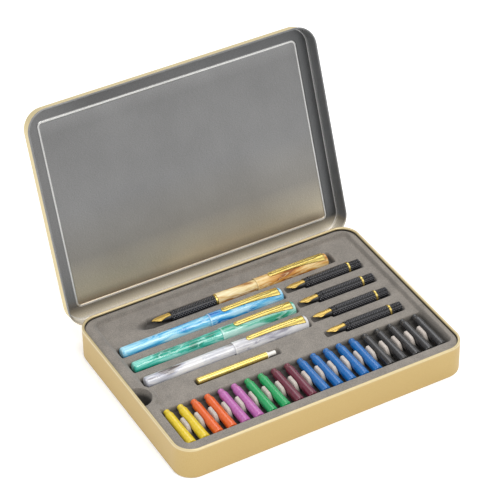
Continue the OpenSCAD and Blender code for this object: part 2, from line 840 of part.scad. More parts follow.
module section_4_grip() { color(black) unit_at(4) grip(); }
module section_4_ring() { color(gold) unit_at(4) ring(); }
module section_4_nib() { color(gold) unit_at(4) nib(); }
module section_4_feed() { color(black) unit_at(4) feed(); }

module converter_sleeve() { color(gold) translate([conv_x0, conv_y, conv_z]) sleeve(); }
module converter_reservoir() { color([0.93, 0.92, 0.9]) translate([conv_x0, conv_y, conv_z]) reservoir(); }

yellow_ink = [0.93, 0.82, 0.3];
orange_ink = [0.96, 0.48, 0.26];
violet_ink = [0.74, 0.44, 0.73];
green_ink = [0.22, 0.67, 0.45];
burgundy_ink = [0.5, 0.22, 0.3];
blue_ink = [0.08, 0.43, 0.75];
black_ink = [0.2, 0.19, 0.19];

module cartridge_01() { cartridge(1, yellow_ink); }
module cartridge_02() { cartridge(2, yellow_ink); }
module cartridge_03() { cartridge(3, orange_ink); }
module cartridge_04() { cartridge(4, orange_ink); }
module cartridge_05() { cartridge(5, violet_ink); }
module cartridge_06() { cartridge(6, violet_ink); }
module cartridge_07() { cartridge(7, green_ink); }
module cartridge_08() { cartridge(8, green_ink); }
module cartridge_09() { cartridge(9, burgundy_ink); }
module cartridge_10() { cartridge(10, burgundy_ink); }
module cartridge_11() { cartridge(11, blue_ink); }
module cartridge_12() { cartridge(12, blue_ink); }
module cartridge_13() { cartridge(13, blue_ink); }
module cartridge_14() { cartridge(14, blue_ink); }
module cartridge_15() { cartridge(15, blue_ink); }
module cartridge_16() { cartridge(16, black_ink); }
module cartridge_17() { cartridge(17, black_ink); }
module cartridge_18() { cartridge(18, black_ink); }
module cartridge_19() { cartridge(19, black_ink); }
module cartridge_20() { cartridge(20, black_ink); }

base_tin();
lid_tin();
hinge_straps();
hinge_wire();
flocked_tray();
pen_1_barrel();
pen_1_cap();
pen_1_clip();
pen_1_grip();
pen_1_ring();
pen_1_nib();
pen_1_feed();
pen_2_barrel();
pen_2_cap();
pen_2_clip();
pen_3_barrel();
pen_3_cap();
pen_3_clip();
pen_4_barrel();
pen_4_cap();
pen_4_clip();
section_1_grip();
section_1_ring();
section_1_nib();
section_1_feed();
section_2_grip();
section_2_ring();
section_2_nib();
section_2_feed();
section_3_grip();
section_3_ring();
section_3_nib();
section_3_feed();
section_4_grip();
section_4_ring();
section_4_nib();
section_4_feed();
converter_sleeve();
converter_reservoir();
cartridge_01();
cartridge_02();
cartridge_03();
cartridge_04();
cartridge_05();
cartridge_06();
cartridge_07();
cartridge_08();
cartridge_09();
cartridge_10();
cartridge_11();
cartridge_12();
cartridge_13();
cartridge_14();
cartridge_15();
cartridge_16();
cartridge_17();
cartridge_18();
cartridge_19();
cartridge_20();
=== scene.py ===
# %% [markdown]
# # A calligraphy set in its tin
#
# The object is a flat hinged tin of gold painted tinplate. A grey flocked tray sits in it and holds
# four marbled pens, four loose nib sections, a gold converter and a row of ink cartridges.
#
# The solids already have their real sizes and places, so this lesson does not move any of them.
# It dresses them: each surface gets the finish of the real material, built from procedural nodes
# whose pattern sizes come from millimetres. Three kinds of piece are made again as finer meshes:
# the tray, because a formed and flocked sheet has soft edges that sharp solids cannot show, and
# the clips and nibs, whose pressed outlines are fuller than the solids'.

import math

import bpy
import numpy as np
from mathutils import Matrix, Vector


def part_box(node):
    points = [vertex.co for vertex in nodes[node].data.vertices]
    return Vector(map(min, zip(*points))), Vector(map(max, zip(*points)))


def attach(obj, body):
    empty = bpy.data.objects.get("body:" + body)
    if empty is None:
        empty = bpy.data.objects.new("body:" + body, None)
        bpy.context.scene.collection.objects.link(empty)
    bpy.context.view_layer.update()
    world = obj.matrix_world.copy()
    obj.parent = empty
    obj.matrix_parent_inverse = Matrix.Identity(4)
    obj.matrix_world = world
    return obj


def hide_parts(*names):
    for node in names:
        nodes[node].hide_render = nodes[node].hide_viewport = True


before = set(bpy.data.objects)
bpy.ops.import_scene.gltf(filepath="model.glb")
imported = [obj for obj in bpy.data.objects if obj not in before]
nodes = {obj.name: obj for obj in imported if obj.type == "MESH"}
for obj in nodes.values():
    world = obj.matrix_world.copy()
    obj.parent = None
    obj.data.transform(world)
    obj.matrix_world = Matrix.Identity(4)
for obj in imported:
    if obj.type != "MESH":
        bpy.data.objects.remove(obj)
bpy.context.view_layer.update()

# %% [markdown]
# ## Working in millimetres and in paint colours
#
# The scene is in metres, but a tin maker thinks in millimetres, so `MM` turns one into the other.
# A colour given as a hex value is in sRGB. Shaders need linear light, and one function does
# that change, so every colour in the lesson can be read as a plain hex value.

# %% Units and colours
MM = 0.001


def paint(code, alpha=1.0):
    """A linear colour from an sRGB hex value."""
    parts = [int(code[i : i + 2], 16) / 255 for i in (0, 2, 4)]
    line = [c / 12.92 if c <= 0.04045 else ((c + 0.055) / 1.055) ** 2.4 for c in parts]
    return (*line, alpha)


print("mid grey in linear light", [round(c, 3) for c in paint("808080")[:3]])

# %% [markdown]
# ## The camera
#
# The view is that of a product photograph: a long lens, about 1.8 m away, from the front left and
# from 38 degrees above the table. Its place was found by fitting a camera to the corners of the
# tin. It could also be set by eye, but a measured camera lets every other error show itself.
# The long lens keeps parallel edges nearly parallel, which is what makes the tin look flat and
# calm. The fit gives the focal length and the picture's middle in pixels of a picture 500 pixels
# high, so both are turned into the sizes that a lens has here. The small shift moves the picture
# in its frame without turning the camera.

# %% Camera
AZIMUTH, ELEVATION, ROLL = (math.radians(a) for a in (-29.18, 38.49, -0.72))
AIM = Vector((48.18, 114.14, 0)) * MM
DISTANCE = 1797.2 * MM
SENSOR = 36  # millimetres across, as on a full frame camera
PICTURE, FOCAL, SHIFT_RIGHT, SHIFT_UP = 500, 2366.33, -3.19, 3.75  # pixels

back = Vector(
    (
        math.sin(AZIMUTH) * math.cos(ELEVATION),
        -math.cos(AZIMUTH) * math.cos(ELEVATION),
        math.sin(ELEVATION),
    )
)
level_right = Vector((0, 0, 1)).cross(back).normalized()
level_up = back.cross(level_right)
right = level_right * math.cos(ROLL) + level_up * math.sin(ROLL)
up = level_up * math.cos(ROLL) - level_right * math.sin(ROLL)

lens = bpy.data.cameras.new("photo_camera")
lens.lens = SENSOR * FOCAL / PICTURE
lens.sensor_width = SENSOR
lens.shift_x = SHIFT_RIGHT / PICTURE
lens.shift_y = SHIFT_UP / PICTURE
lens.clip_start = 50 * MM
camera = bpy.data.objects.new("photo_camera", lens)
bpy.context.scene.collection.objects.link(camera)
camera.matrix_world = Matrix.Translation(AIM + back * DISTANCE) @ Matrix(
    (right, up, back)
).transposed().to_4x4()
bpy.context.scene.camera = camera
print("lens", round(lens.lens, 1), "mm,", round(DISTANCE, 2), "m from its aim")

# %% [markdown]
# ## The table and the light
#
# The tin stands on a plain white table under large soft lamps. The key lamp is high in front and
# lights the open lid and the wall below it. A weaker one on the left keeps the short wall from
# going dark, and a card of light above and behind draws the streaks along pens and cartridges.
# A pale sky fills every shadow a little. Metal shows what is round it, so for a tin lid the wide
# pale surroundings matter more than the lamps.
#
# A smaller lamp would give harder shadows; the photograph has hardly any, so all three are about
# a metre wide. Places and sizes are in metres here, and powers in watts.

# %% Floor, sky and lamps
def plane(name, width, depth, place):
    """A flat rectangle in metres, used for the floor."""
    w, d = width / 2, depth / 2
    mesh = bpy.data.meshes.new(name)
    mesh.from_pydata([(-w, -d, 0), (w, -d, 0), (w, d, 0), (-w, d, 0)], [], [(0, 1, 2, 3)])
    made = bpy.data.objects.new(name, mesh)
    made.location = place
    bpy.context.scene.collection.objects.link(made)
    return made


def lamp(name, place, target, size, watts, tint):
    """A square soft box that looks at a point."""
    light = bpy.data.lights.new(name, "AREA")
    light.shape = "SQUARE"
    light.size = size
    light.energy = watts
    light.color = paint(tint)[:3]
    made = bpy.data.objects.new(name, light)
    made.location = place
    made.rotation_euler = (Vector(target) - Vector(place)).to_track_quat("-Z", "Y").to_euler()
    bpy.context.scene.collection.objects.link(made)
    return made


floor = plane("white_card", 12, 12, (0, 0, -0.0002))

lamp("key_soft_box", place=(0.2, -1.1, 1.7), target=(0, 0, 0), size=1.1, watts=22, tint="fffdfa")
lamp("left_soft_box", place=(-1.5, 0.1, 1.2), target=(0, 0, 0.02), size=0.9, watts=6, tint="fbfcff")
lamp("top_card", place=(0.5, 1.0, 1.6), target=(0, 0, 0), size=1.2, watts=9, tint="fbfcff")

sky = bpy.data.worlds.new("pale_studio")
sky.use_nodes = True
sky.node_tree.nodes["Background"].inputs["Color"].default_value = paint("f6f6f6")
sky.node_tree.nodes["Background"].inputs["Strength"].default_value = 0.7
bpy.context.scene.world = sky
bpy.context.scene.view_settings.view_transform = "Standard"

# %% [markdown]
# ## One small function for nodes
#
# A shader is a graph of nodes. Each node needs three things: its settings, the values of its
# sockets, and the links into them. `add` does all three at once, so that a finish reads like a
# recipe from top to bottom. It gives back the node's first live output, since that is nearly
# always what the next step wants; `.node.outputs` reaches the others. Sockets are mostly reached
# by number, since some share a name: 6 and 7 are the two colours of a colour Mix, 2 and 3 the two
# values of a float Mix, and in MapRange 1 and 2 are the range that comes in and 3 and 4 the one
# that goes out. `fill` does the same for a shader that is already there.
#
# `finish_named` starts a material: it scales the object's own coordinates to millimetres, so that
# 1 / 0.5 as the scale of a pattern means a grain of half a millimetre.

# %% Node helper
def fill(node, values):
    """Fills a node's sockets: a value that is itself a socket is linked, any other is set."""
    for key, value in values.items():
        if isinstance(value, bpy.types.NodeSocket):
            node.id_data.links.new(value, node.inputs[key])
        else:
            node.inputs[key].default_value = value


def add(tree, kind, values=None, **settings):
    """Adds a shader node with its settings, values and links; gives back its live output."""
    node = tree.nodes.new("ShaderNode" + kind)
    for name, value in settings.items():
        setattr(node, name, value)
    fill(node, values or {})
    return next(socket for socket in node.outputs if socket.enabled)


def finish_named(name):
    """A new empty material: its tree, its shader, and the object's own coordinates in mm."""
    made = bpy.data.materials.new(name)
    made.use_nodes = True
    tree = made.node_tree
    shader = tree.nodes["Principled BSDF"]
    place = add(tree, "TexCoord").node.outputs["Object"]
    mm = add(tree, "VectorMath", {0: place, "Scale": 1 / MM}, operation="SCALE")
    return made, tree, shader, mm


def stops(ramp, *pairs):
    """Sets the colours along a colour ramp from (position, hex) pairs."""
    points = ramp.node.color_ramp.elements
    while len(points) > 1:
        points.remove(points[-1])
    points[0].position, points[0].color = pairs[0][0], paint(pairs[0][1])
    for position, code in pairs[1:]:
        points.new(position).color = paint(code)
    return ramp


# %% [markdown]
# The table is the first use of it: a sheet of white acrylic, as a product studio has. It is satin
# and so even that only a faint cloudiness over 20 mm or so keeps it from looking like a flat
# colour. Such a table is often lit from below, and a little glow of its own does that here, so the
# ground stays white right up to the tin and only a thin shadow is left under it.

# %% White table
made, tree, shader, mm = finish_named("white_acrylic_table")
cloudy = add(tree, "TexNoise", {"Vector": mm, "Scale": 1 / 20, "Detail": 3.0})
white = stops(add(tree, "ValToRGB", {"Fac": cloudy}), (0.3, "f6f6f6"), (0.7, "fbfbfb"))
fill(shader, {"Base Color": white, "Roughness": 0.8})
fill(shader, {"Emission Color": white, "Emission Strength": 0.3})
floor.data.materials.append(made)
print("made", made.name)

# %% [markdown]
# ## Where the tin is painted and where it is bare
#
# Tinplate is painted flat, on one side, before it is pressed. So the outside of the base and lid
# is gold and their insides are bare. A rim rolled inwards shows the painted side, and a hem rolled
# outwards shows the bare side: that is why the base has a gold bead and the lid a silver one.
#
# The two sides could be split into two meshes. Here one material decides by the distance from the
# outline instead, worked out with the formula for a rounded rectangle, so the sheet stays whole.

# %% Distance from the tin's outline
def outline_distance(tree, x, y, half_w, half_d, corner):
    """Distance in mm outside a rounded rectangle; it is negative inside."""
    ax = add(tree, "Math", {0: x}, operation="ABSOLUTE")
    ay = add(tree, "Math", {0: y}, operation="ABSOLUTE")
    qx = add(tree, "Math", {0: ax, 1: half_w - corner}, operation="SUBTRACT")
    qy = add(tree, "Math", {0: ay, 1: half_d - corner}, operation="SUBTRACT")
    ox = add(tree, "Math", {0: qx, 1: 0.0}, operation="MAXIMUM")
    oy = add(tree, "Math", {0: qy, 1: 0.0}, operation="MAXIMUM")
    flat = add(tree, "CombineXYZ", {"X": ox, "Y": oy})
    out = add(tree, "VectorMath", {0: flat}, operation="LENGTH")
    inner = add(tree, "Math", {0: qx, 1: qy}, operation="MAXIMUM")
    inner = add(tree, "Math", {0: inner, 1: 0.0}, operation="MINIMUM")
    both = add(tree, "Math", {0: out, 1: inner}, operation="ADD")
    return add(tree, "Math", {0: both, 1: corner}, operation="SUBTRACT")


SHEET = 0.4
TIN_HALF_W, TIN_HALF_D, TIN_CORNER, TIN_HIGH = 115.0, 81.0, 14.5, 26.5
LID_HALF_W, LID_HALF_D, LID_CORNER, LID_TOP, LID_MOUTH = 116.0, 82.0, 15.5, 27.05, 15.05
print("base outline", 2 * TIN_HALF_W, "x", 2 * TIN_HALF_D, "mm of", SHEET, "mm sheet")

# %% [markdown]
# ## Gold paint and bare tinplate
#
# The paint is a satin metallic: fine flakes in a clear binder, rolled on and baked. It reads as a
# warm matt gold with a soft broad highlight, so its roughness is near 0.45 and it is only partly
# metallic. The bare side is tin over steel, rolled with a fine grain, so it mirrors its
# surroundings in a blur that is longer across the rolling marks. Large faint clouds come from the
# melted tin coating.
#
# Both finishes share one shader here, and the mask picks between them. Real flakes are far too
# fine to show, so they are drawn 0.45 mm wide. The rolling marks are 1 mm by 0.3 mm, and the
# clouds about 33 mm.

# %% Tin finish
FLAKES, MARKS, CLOUDS = 2.2, 1.0, 0.03  # per mm


def tin_finish(made, mm, painted, gold, shade, mirror):
    """Gold where painted is 1; bare tin of a shade, and as metallic as mirror, where it is 0."""
    tree = made.node_tree
    shader = tree.nodes["Principled BSDF"]
    flake = add(tree, "TexNoise", {"Vector": mm, "Scale": FLAKES, "Detail": 2.0})
    gold = stops(add(tree, "ValToRGB", {"Fac": flake}), (0.3, gold[0]), (0.7, gold[1]))
    rolled = add(tree, "Mapping", {"Vector": mm, "Scale": (1.0, 3.0, 3.0)})
    grain = add(tree, "TexNoise", {"Vector": rolled, "Scale": MARKS, "Detail": 4.0})
    cloud = add(tree, "TexNoise", {"Vector": mm, "Scale": CLOUDS, "Detail": 3.0})
    cloud = add(tree, "Math", {0: cloud, 1: 0.22}, operation="MULTIPLY")
    mixed = add(tree, "Math", {0: grain, 1: 0.78, 2: cloud}, operation="MULTIPLY_ADD")
    tin = stops(add(tree, "ValToRGB", {"Fac": mixed}), (0.36, "d8d8d8"), (0.64, "ffffff"))
    both = {0: 1.0, 6: tin, 7: shade}
    tin = add(tree, "Mix", both, data_type="RGBA", blend_type="MULTIPLY")
    colour = add(tree, "Mix", {0: painted, 6: tin, 7: gold}, data_type="RGBA")
    metal = add(tree, "Mix", {0: painted, 2: mirror, 3: 0.5}, data_type="FLOAT")
    rough = add(tree, "MapRange", {0: painted, 3: 0.3, 4: 0.44})
    rough = add(tree, "Math", {0: mixed, 1: 0.12, 2: rough}, operation="MULTIPLY_ADD")
    fine = add(tree, "Mix", {0: painted, 2: grain, 3: flake}, data_type="FLOAT")
    bump = add(tree, "Bump", {"Height": fine, "Strength": 0.12, "Distance": 0.04 * MM})
    fill(shader, {"Base Color": colour, "Metallic": metal, "Roughness": rough, "Normal": bump})
    print("made", made.name)
    return made


# %% [markdown]
# The base is gold in three places: on its wall, where a point is less than half the sheet inside
# the outline, on the rolled rim, and underneath. Everything else is the bare inside.

# %% Base: gold outside, on the rolled rim and underneath
RIM_DEEP = 2.1  # mm, from the top of the tin to the foot of its rolled rim
GOLD = ("b49a62", "bca46e")
made, tree, shader, mm = finish_named("tinplate_base_gold_painted")
x, y, z = add(tree, "SeparateXYZ", {0: mm}).node.outputs
far = outline_distance(tree, x, y, TIN_HALF_W, TIN_HALF_D, TIN_CORNER)
wall = add(tree, "Math", {0: far, 1: -SHEET / 2}, operation="GREATER_THAN")
rim = add(tree, "Math", {0: z, 1: TIN_HIGH - RIM_DEEP}, operation="GREATER_THAN")
under = add(tree, "Math", {0: z, 1: SHEET / 2}, operation="LESS_THAN")
painted = add(tree, "Math", {0: wall, 1: rim}, operation="MAXIMUM")
painted = add(tree, "Math", {0: painted, 1: under}, operation="MAXIMUM")
base_tin = tin_finish(made, mm, painted, GOLD, paint("d0cfcc"), 0.96)

# %% [markdown]
# The bead is the rounded top of the rim. It gets a clear coat, which catches a thin line of light,
# and a paler gold, a painted highlight, that comes in over 0.6 mm of its height.

# %% Base: the bead and its painted highlight
BEAD_FROM, BEAD_FULL = TIN_HIGH - 1.6, TIN_HIGH - 1.0
coat = add(tree, "Math", {0: rim, 1: 0.7}, operation="MULTIPLY")
fill(shader, {"Coat Weight": coat, "Coat Roughness": 0.16})
# Painted highlight: towards its top, the bead's gold is mixed up to 0.6 of the way to a paler gold.
bead = add(tree, "MapRange", {0: z, 1: BEAD_FROM, 2: BEAD_FULL, 3: 0.0, 4: 0.6})
plain_gold = shader.inputs["Base Color"].links[0].from_socket
bead_painted_highlight = add(tree, "Mix", {0: bead, 6: plain_gold, 7: paint("e0d2a8")}, data_type="RGBA")
fill(shader, {"Base Color": bead_painted_highlight})
print("bead paler above", round(BEAD_FROM, 1), "mm")

# %% [markdown]
# The lid was shaped shut and then swung open about its wire, so its pattern is worked out in the
# shut position: the coordinates are first turned back by the opening angle about the hinge.
# The pressed crown is a quarter circle of 1.6 mm outside and 1.2 mm inside. A line 1.225 mm from
# its middle divides the painted skin from the bare one, also in the groove of the rib. The hem,
# the lowest 1.42 mm of the skirt, is rolled outwards and shows its bare side all round.

# %% Lid: gold outside, bare inside and on the rolled hem
OPEN_DEG, HINGE = 110, (0.0, 82.8, 16.25)
CROWN, SKIN_LINE, HEM_HIGH = 1.6, 1.225, 1.42  # mm
made, tree, shader, mm = finish_named("tinplate_lid_gold_painted")
turned = {"Vector": mm, "Center": HINGE, "Angle": math.radians(OPEN_DEG)}
shut = add(tree, "VectorRotate", turned, rotation_type="X_AXIS")
x, y, z = add(tree, "SeparateXYZ", {0: shut}).node.outputs
far = outline_distance(tree, x, y, LID_HALF_W, LID_HALF_D, LID_CORNER)
side = add(tree, "Math", {0: far, 1: CROWN}, operation="ADD")
side = add(tree, "Math", {0: side, 1: 0.0}, operation="MAXIMUM")
top = add(tree, "Math", {0: z, 1: LID_TOP - CROWN}, operation="SUBTRACT")
top = add(tree, "Math", {0: top, 1: 0.0}, operation="MAXIMUM")
crown = add(tree, "CombineXYZ", {"X": side, "Y": top})
crown = add(tree, "VectorMath", {0: crown}, operation="LENGTH")
skin = add(tree, "Math", {0: crown, 1: SKIN_LINE}, operation="GREATER_THAN")
above_hem = add(tree, "Math", {0: z, 1: LID_MOUTH + HEM_HIGH}, operation="GREATER_THAN")
painted = add(tree, "Math", {0: skin, 1: above_hem}, operation="MULTIPLY")
print("lid turned back", OPEN_DEG, "degrees")

# %% [markdown]
# Bare tin mirrors the studio, and this scene has no walls or ceiling to mirror. They could be
# built as cards round the table, but then every other piece would change its light too. So the
# soft gradients that a studio gives are put into the finish: one down the panel inside the rib,
# one along the strip outside it, and a bright warm one near the hinge, where the lid mirrors the
# lit tin below it. There, and on the skirt all round, the finish is also less metallic, so that
# it stays bright.

# %% Lid: the mirrored studio
RIB_IN, RIB_CORNER = 11.4, 3.0  # mm, from the skirt to the rib, and the rib's own corner
BEND_FROM, BEND_FULL, SKIRT_FROM, SKIRT_FULL = 70.0, 72.5, -2.4, -1.2  # mm
rib = outline_distance(tree, x, y, LID_HALF_W - RIB_IN, LID_HALF_D - RIB_IN, RIB_CORNER)
beyond = add(tree, "MapRange", {0: rib, 1: -0.4, 2: 0.4})
down = add(tree, "MapRange", {0: y, 1: -LID_HALF_D, 2: LID_HALF_D})
across = add(tree, "MapRange", {0: x, 1: -LID_HALF_W, 2: LID_HALF_W})
panel = stops(
    add(tree, "ValToRGB", {"Fac": down}),
    (0.07, "a0a0a0"),
    (0.14, "939393"),
    (0.5, "989898"),
    (0.72, "9d9a94"),
    (0.83, "bcb4a3"),
    (0.88, "cbc0a9"),
    (0.912, "aea28f"),
)
strip = stops(
    add(tree, "ValToRGB", {"Fac": across}),
    (0.04, "8d8d8d"),
    (0.24, "757575"),
    (0.5, "7c7c7c"),
    (0.96, "757677"),
)
bend = stops(
    add(tree, "ValToRGB", {"Fac": down}), (0.945, "8d8679"), (0.975, "d5cebe"), (0.99, "f4eee2")
)
near = add(tree, "MapRange", {0: y, 1: BEND_FROM, 2: BEND_FULL})
strip = add(tree, "Mix", {0: near, 6: strip, 7: bend}, data_type="RGBA")
shade = add(tree, "Mix", {0: beyond, 6: panel, 7: strip}, data_type="RGBA")
skirt = add(tree, "MapRange", {0: far, 1: SKIRT_FROM, 2: SKIRT_FULL})
soft = add(tree, "Math", {0: near, 1: skirt}, operation="MAXIMUM")
mirror = add(tree, "MapRange", {0: soft, 3: 0.96, 4: 0.25})
print("rib", RIB_IN, "mm in from the skirt")

# %% [markdown]
# The rib and the fold between the strip and the skirt are sharp bends, and a sharp bend in bare
# tin always finds some lamp to catch. A thin pale line is drawn along each.

# %% Lid: lines of light
FOLD_IN, FOLD_HALF, RIB_LINE_HALF = 1.75, 0.3, 0.6  # mm
line = add(tree, "Math", {0: rib}, operation="ABSOLUTE")
line = add(tree, "Math", {0: line, 1: RIB_LINE_HALF}, operation="LESS_THAN")
fold = add(tree, "Math", {0: far, 1: FOLD_IN}, operation="ADD")
fold = add(tree, "Math", {0: fold}, operation="ABSOLUTE")
fold = add(tree, "Math", {0: fold, 1: FOLD_HALF}, operation="LESS_THAN")
line = add(tree, "Math", {0: line, 1: fold}, operation="MAXIMUM")
shade = add(tree, "Mix", {0: line, 6: shade, 7: paint("e6e6e4")}, data_type="RGBA")
# The lid has the same paint as the base's GOLD; its paler gold here is painted light.
lid_tin = tin_finish(made, shut, painted, ("cdbc8e", "d6c79b"), shade, mirror)

# %% [markdown]
# ## Flocking
#
# The tray is a thin plastic sheet, vacuum formed over a mould and then flocked: short fibres are
# shot onto wet glue so that they stand up like velvet. To the eye it is a dull grey with a fine
# speckle and no highlight, and its edges are all a little soft. Real flock is about 0.5 mm long;
# its speckle is drawn at 0.6 mm here so that it shows in the picture, over patches of about 11 mm.
# Little light reaches the floors of the pockets, so the grey is darkened towards them.

# %% Flock finish
SPECKS, PATCHES = 1.7, 0.09  # per mm
DARK_Z, LIT_Z = 16.8, 20.2  # mm above the table
made, tree, shader, mm = finish_named("grey_nylon_flock")
x, y, z = add(tree, "SeparateXYZ", {0: mm}).node.outputs
speck = add(tree, "TexNoise", {"Vector": mm, "Scale": SPECKS, "Detail": 3.0, "Roughness": 0.7})
patch = add(tree, "TexNoise", {"Vector": mm, "Scale": PATCHES, "Detail": 2.0})
mixed = add(tree, "Math", {0: patch, 1: 0.3, 2: speck}, operation="MULTIPLY_ADD")
grey = stops(
    add(tree, "ValToRGB", {"Fac": mixed}), (0.45, "6b6761"), (0.66, "847e77"), (0.85, "999289")
)
deep = add(tree, "MapRange", {0: z, 1: DARK_Z, 2: LIT_Z, 3: 0.25, 4: 1.0})
both = {0: 1.0, 6: grey, 7: deep}
grey = add(tree, "Mix", both, data_type="RGBA", blend_type="MULTIPLY")
bump = add(tree, "Bump", {"Height": speck, "Strength": 0.55, "Distance": 0.35 * MM})
fill(shader, {"Roughness": 1.0, "Specular IOR Level": 0.1, "Normal": bump})
fill(shader, {"Sheen Weight": 0.25, "Sheen Roughness": 0.6})
grey_flock = made
print("made", made.name)

# %% [markdown]
# The humps between the cartridges are given a paler grey towards their tops.
# The humps are found by their place: each limit below gives the millimetre where the paler grey
# starts and the one where it is complete.

# %% Flock paler on the humps
side = add(tree, "Math", {0: x}, operation="ABSOLUTE")
# Paler grey towards the tops of the humps, rising with height from 18.2 mm to 21.4 mm.
paler_on_humps = add(tree, "MapRange", {0: z, 1: 18.2, 2: 21.4})
limits = ((z, 23.8, 23.4), (y, -43.0, -43.5), (y, -58.5, -57.5), (side, 103.0, 102.0))
for value, none, full in limits:
    part = add(tree, "MapRange", {0: value, 1: none, 2: full})
    paler_on_humps = add(tree, "Math", {0: paler_on_humps, 1: part}, operation="MULTIPLY")
pale = stops(add(tree, "ValToRGB", {"Fac": mixed}), (0.45, "a0978f"), (0.85, "d2c9c1"))
colour = add(tree, "Mix", {0: paler_on_humps, 6: grey, 7: pale}, data_type="RGBA")
fill(shader, {"Base Color": colour})
print("rubbed inside", 1 + len(limits), "limits")

# %% [markdown]
# ## Marbled resin
#
# The pens are turned or moulded from marbled acrylic: clear and pearly resins swirled together, so
# soft clouds of colour run along the barrel, with thin pale veins. It is polished, with an IOR of
# about 1.49 and a low roughness, under a thin clear coat.
#
# A marble is a noise that is looked up at places pushed about by another noise. The places are
# first squeezed along the barrel, which stretches the clouds that way: they are about 7 mm across
# and 30 mm long, pushed by swirls of 9 mm. Cap and barrel are turned from different rods, so each
# has its own shades and its own shift through the noise. A cap's mouth has a narrow ring of
# clearer resin.

# %% Resin finish
SQUEEZE, SWIRL_REACH = 0.22, 14.0  # along the barrel; mm
SWIRL, CLOUD, VEIN = 0.11, 0.14, 0.16  # per mm
LIP_IN, LIP_HALF, LIP_FADE = 1.2, 1.0, 0.4  # mm


def marbled_resin(name, shades, veins, shift, lip=None):
    """Polished marbled resin; shades are (position, hex), and lip is where a cap's mouth lies."""
    made, tree, shader, mm = finish_named(name)
    squeezed = {"Vector": mm, "Location": shift, "Scale": (SQUEEZE, 1, 1)}
    along = add(tree, "Mapping", squeezed)
    push = add(tree, "TexNoise", {"Vector": along, "Scale": SWIRL, "Detail": 2.0})
    push = push.node.outputs["Color"]
    push = add(tree, "VectorMath", {0: push, "Scale": SWIRL_REACH}, operation="SCALE")
    moved = add(tree, "VectorMath", {0: along, 1: push}, operation="ADD")
    cloud = add(tree, "TexNoise", {"Vector": moved, "Scale": CLOUD, "Detail": 3.0})
    body = stops(add(tree, "ValToRGB", {"Fac": cloud}), *shades)
    vein = add(tree, "TexNoise", {"Vector": moved, "Scale": VEIN, "Detail": 2.0})
    vein = add(tree, "Math", {0: vein, 1: 0.5}, operation="SUBTRACT")
    vein = add(tree, "Math", {0: vein}, operation="ABSOLUTE")
    vein = add(tree, "MapRange", {0: vein, 1: 0.0, 2: 0.035, 3: 0.6, 4: 0.0})
    colour = add(tree, "Mix", {0: vein, 6: body, 7: paint(veins)}, data_type="RGBA")
    if lip is not None:
        x = add(tree, "SeparateXYZ", {0: mm})
        x = add(tree, "Math", {0: x, 1: lip + LIP_IN}, operation="SUBTRACT")
        x = add(tree, "Math", {0: x}, operation="ABSOLUTE")
        fade = {0: x, 1: LIP_HALF, 2: LIP_HALF + LIP_FADE, 3: 0.45, 4: 0.0}
        ring = add(tree, "MapRange", fade)
        colour = add(tree, "Mix", {0: ring, 6: colour, 7: paint(veins)}, data_type="RGBA")
    fill(shader, {"Base Color": colour, "Roughness": 0.16, "IOR": 1.49})
    fill(shader, {"Coat Weight": 0.5, "Coat Roughness": 0.05})
    print("made", name)
    return made


print("clouds", round(1 / CLOUD), "mm across and", round(1 / CLOUD / SQUEEZE), "mm long")

# %% [markdown]
# The colours go from the darkest clouds to the palest, and the pens from the hinge to the front.

# %% Resins of the barrels
barrel_resins = {
    1: marbled_resin(
        "acrylic_amber_marble_barrel",
        ((0.38, "a8783f"), (0.44, "d2ae70"), (0.5, "e6d09a"), (0.58, "f2e4bb")),
        veins="f6ecc9",
        shift=(3, 11, 5),
    ),
    2: marbled_resin(
        "acrylic_sky_blue_marble_barrel",
        ((0.38, "1d83c4"), (0.45, "4fafdc"), (0.52, "78c2e2"), (0.6, "a0d6ea")),
        veins="c0e4f0",
        shift=(31, 5, 2),
    ),
    3: marbled_resin(
        "acrylic_sea_green_marble_barrel",
        ((0.38, "03705a"), (0.45, "169c86"), (0.53, "46b8a6"), (0.61, "86d2c6")),
        veins="b0e2da",
        shift=(57, 3, 8),
    ),
    4: marbled_resin(
        "acrylic_grey_pearl_marble_barrel",
        ((0.38, "453b39"), (0.42, "746c6c"), (0.46, "a4a6b4"), (0.52, "c0c2ca"), (0.6, "d8d8da")),
        veins="e0e0e0",
        shift=(99.5, 4, 7),
    ),
}

# %% [markdown]
# Each cap has shades of its own, near those of its barrel. The first one is pushed on the back of
# its pen, so its mouth lies further along than those of the other three.

# %% Resins of the caps
cap_resins = {
    1: marbled_resin(
        "acrylic_amber_marble_cap",
        ((0.38, "8e5220"), (0.45, "bf8236"), (0.52, "d3a35a"), (0.6, "e4c68a")),
        veins="ecd6a0",
        shift=(13, 21, 9),
        lip=19.2,
    ),
    2: marbled_resin(
        "acrylic_sky_blue_marble_cap",
        ((0.38, "0f6cb8"), (0.46, "2a93d0"), (0.53, "64b6e0"), (0.6, "a8d4ec")),
        veins="c4e4f4",
        shift=(47, 15, 7),
        lip=-30.0,
    ),
    3: marbled_resin(
        "acrylic_sea_green_marble_cap",
        ((0.38, "067a50"), (0.45, "36a184"), (0.52, "70bcaa"), (0.6, "a8d6ca")),
        veins="c2e4dc",
        shift=(63, 27, 3),
        lip=-30.0,
    ),
    4: marbled_resin(
        "acrylic_grey_pearl_marble_cap",
        ((0.38, "55525e"), (0.44, "888694"), (0.5, "b4b4bc"), (0.58, "d4d4d6")),
        veins="dcdcde",
        shift=(91, 33, 6),
        lip=-30.0,
    ),
}

# %% [markdown]
# ## Gold plate
#
# Clips, nibs, rings and the converter's sleeve are thin metal with a polished gold plating. Gold
# keeps its colour in its reflections, so the base colour is the gold itself and the metal value
# is 1. Faint rub marks, about 7 mm long and 0.8 mm wide, vary the roughness, which keeps the mirror
# from looking like glass. The nibs are plated steel, with a deeper and more satin gold than the
# brass pieces.

# %% Gold finishes
RUBS = (0.15, 1.2, 1.2)  # per mm, along and across the piece


